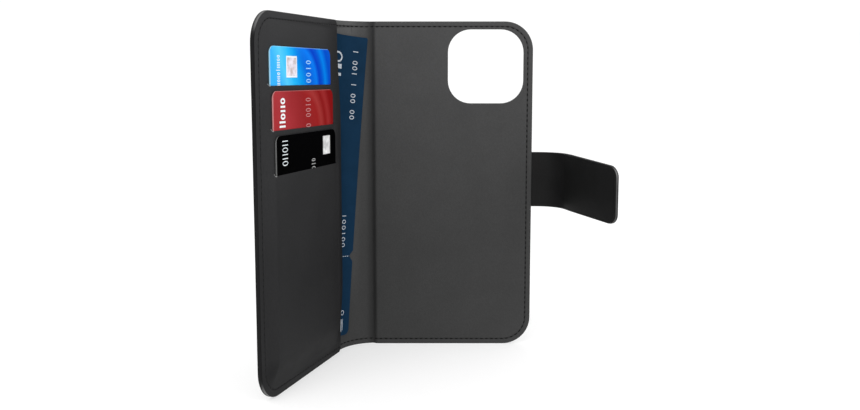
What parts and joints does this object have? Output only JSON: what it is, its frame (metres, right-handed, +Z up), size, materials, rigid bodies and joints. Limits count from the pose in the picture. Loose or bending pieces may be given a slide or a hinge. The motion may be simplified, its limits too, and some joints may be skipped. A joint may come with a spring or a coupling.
{
  "type": "phone wallet case",
  "caption": "Open folio wallet case for a phone: two leather covers on a soft curved spine, card slits, bill pocket, camera cut-out and a wrap-round strap.",
  "frame": {"origin": "middle of the back cover's bottom edge, in the middle of its thickness", "axes": "+Z up along the covers' height, +X from the spine to the back cover's free edge, -Y towards the inside of the folio"},
  "size_m": [0.1423, 0.0832, 0.152],
  "materials": {
    "outer_leather": "fine matt grain, charcoal black artificial leather",
    "lining": "smooth matt charcoal lining",
    "panel_leather": "smooth matt black lining leather",
    "strap_leather": "smooth black",
    "board": "grey board",
    "thread": "black sewing thread",
    "pocket_cloth": "thin black pocket cloth",
    "steel_plate": "plain steel sheet",
    "magnet": "nickel plated",
    "ticket_paper": "printed navy card",
    "blue_card": "glossy printed plastic",
    "red_card": "glossy printed plastic",
    "black_card": "glossy printed plastic",
    "chip_metal": "silver contact plate",
    "foil": "embossed silver foil"
  },
  "bodies": {
    "back_cover": {"back_outer_skin": "outer_leather", "back_board": "board", "back_lining": "lining", "back_stitching": "thread", "upper_holding_plate": "steel_plate", "lower_holding_plate": "steel_plate", "strap_anchor": "strap_leather"},
    "spine": {"spine_outer_skin": "outer_leather", "spine_stiffener": "board", "spine_lining": "lining", "spine_stitching": "thread", "ticket_tail": "ticket_paper"},
    "front_cover": {"front_outer_skin": "outer_leather", "front_board": "board", "front_lining": "lining", "pocket_panel": "panel_leather", "top_card_pocket": "pocket_cloth", "middle_card_pocket": "pocket_cloth", "bottom_card_pocket": "pocket_cloth", "clasp_plate": "steel_plate", "front_stitching": "thread", "ticket_body": "ticket_paper"},
    "top_card": {"top_card": "blue_card", "top_card_chip": "chip_metal"},
    "middle_card": {"middle_card": "red_card"},
    "bottom_card": {"bottom_card": "black_card", "bottom_card_foil": "foil"},
    "strap_side": {"strap_side_skin": "strap_leather", "strap_side_lining": "strap_leather"},
    "strap_tip": {"strap_tip_skin": "strap_leather", "strap_tip_lining": "strap_leather", "strap_tip_stiffener": "board", "strap_magnets": "magnet"}
  },
  "joints": [
    {"name": "back_fold", "type": "hinge", "parent": "back_cover", "child": "spine", "pos_m": [-0.03857, 0.00038, 0.076], "axis": [0, 0, 1], "range_deg": [-125.75, 54.25]},
    {"name": "front_fold", "type": "hinge", "parent": "spine", "child": "front_cover", "pos_m": [-0.05308, -0.01006, 0.076], "axis": [0, 0, 1], "range_deg": [-125.75, 54.25]},
    {"name": "strap_side_bend", "type": "hinge", "parent": "back_cover", "child": "strap_side", "pos_m": [0.0387, 0, 0.079], "axis": [0, 0, -1], "range_deg": [-60, 27.1]},
    {"name": "strap_tip_bend", "type": "hinge", "parent": "strap_side", "child": "strap_tip", "pos_m": [0.05267, -0.01466, 0.079], "axis": [0, 0, -1], "range_deg": [-75, 76.9]},
    {"name": "top_card_slide", "type": "slide", "parent": "front_cover", "child": "top_card", "axis": [0, 0, 1], "range_m": [0, 0.065]},
    {"name": "middle_card_slide", "type": "slide", "parent": "front_cover", "child": "middle_card", "axis": [0, 0, 1], "range_m": [0, 0.065]},
    {"name": "bottom_card_slide", "type": "slide", "parent": "front_cover", "child": "bottom_card", "axis": [0, 0, 1], "range_m": [0, 0.065]}
  ],
  "couplings": [
    {"joint": "front_fold", "follows": "back_fold", "ratio": 1}
  ]
}
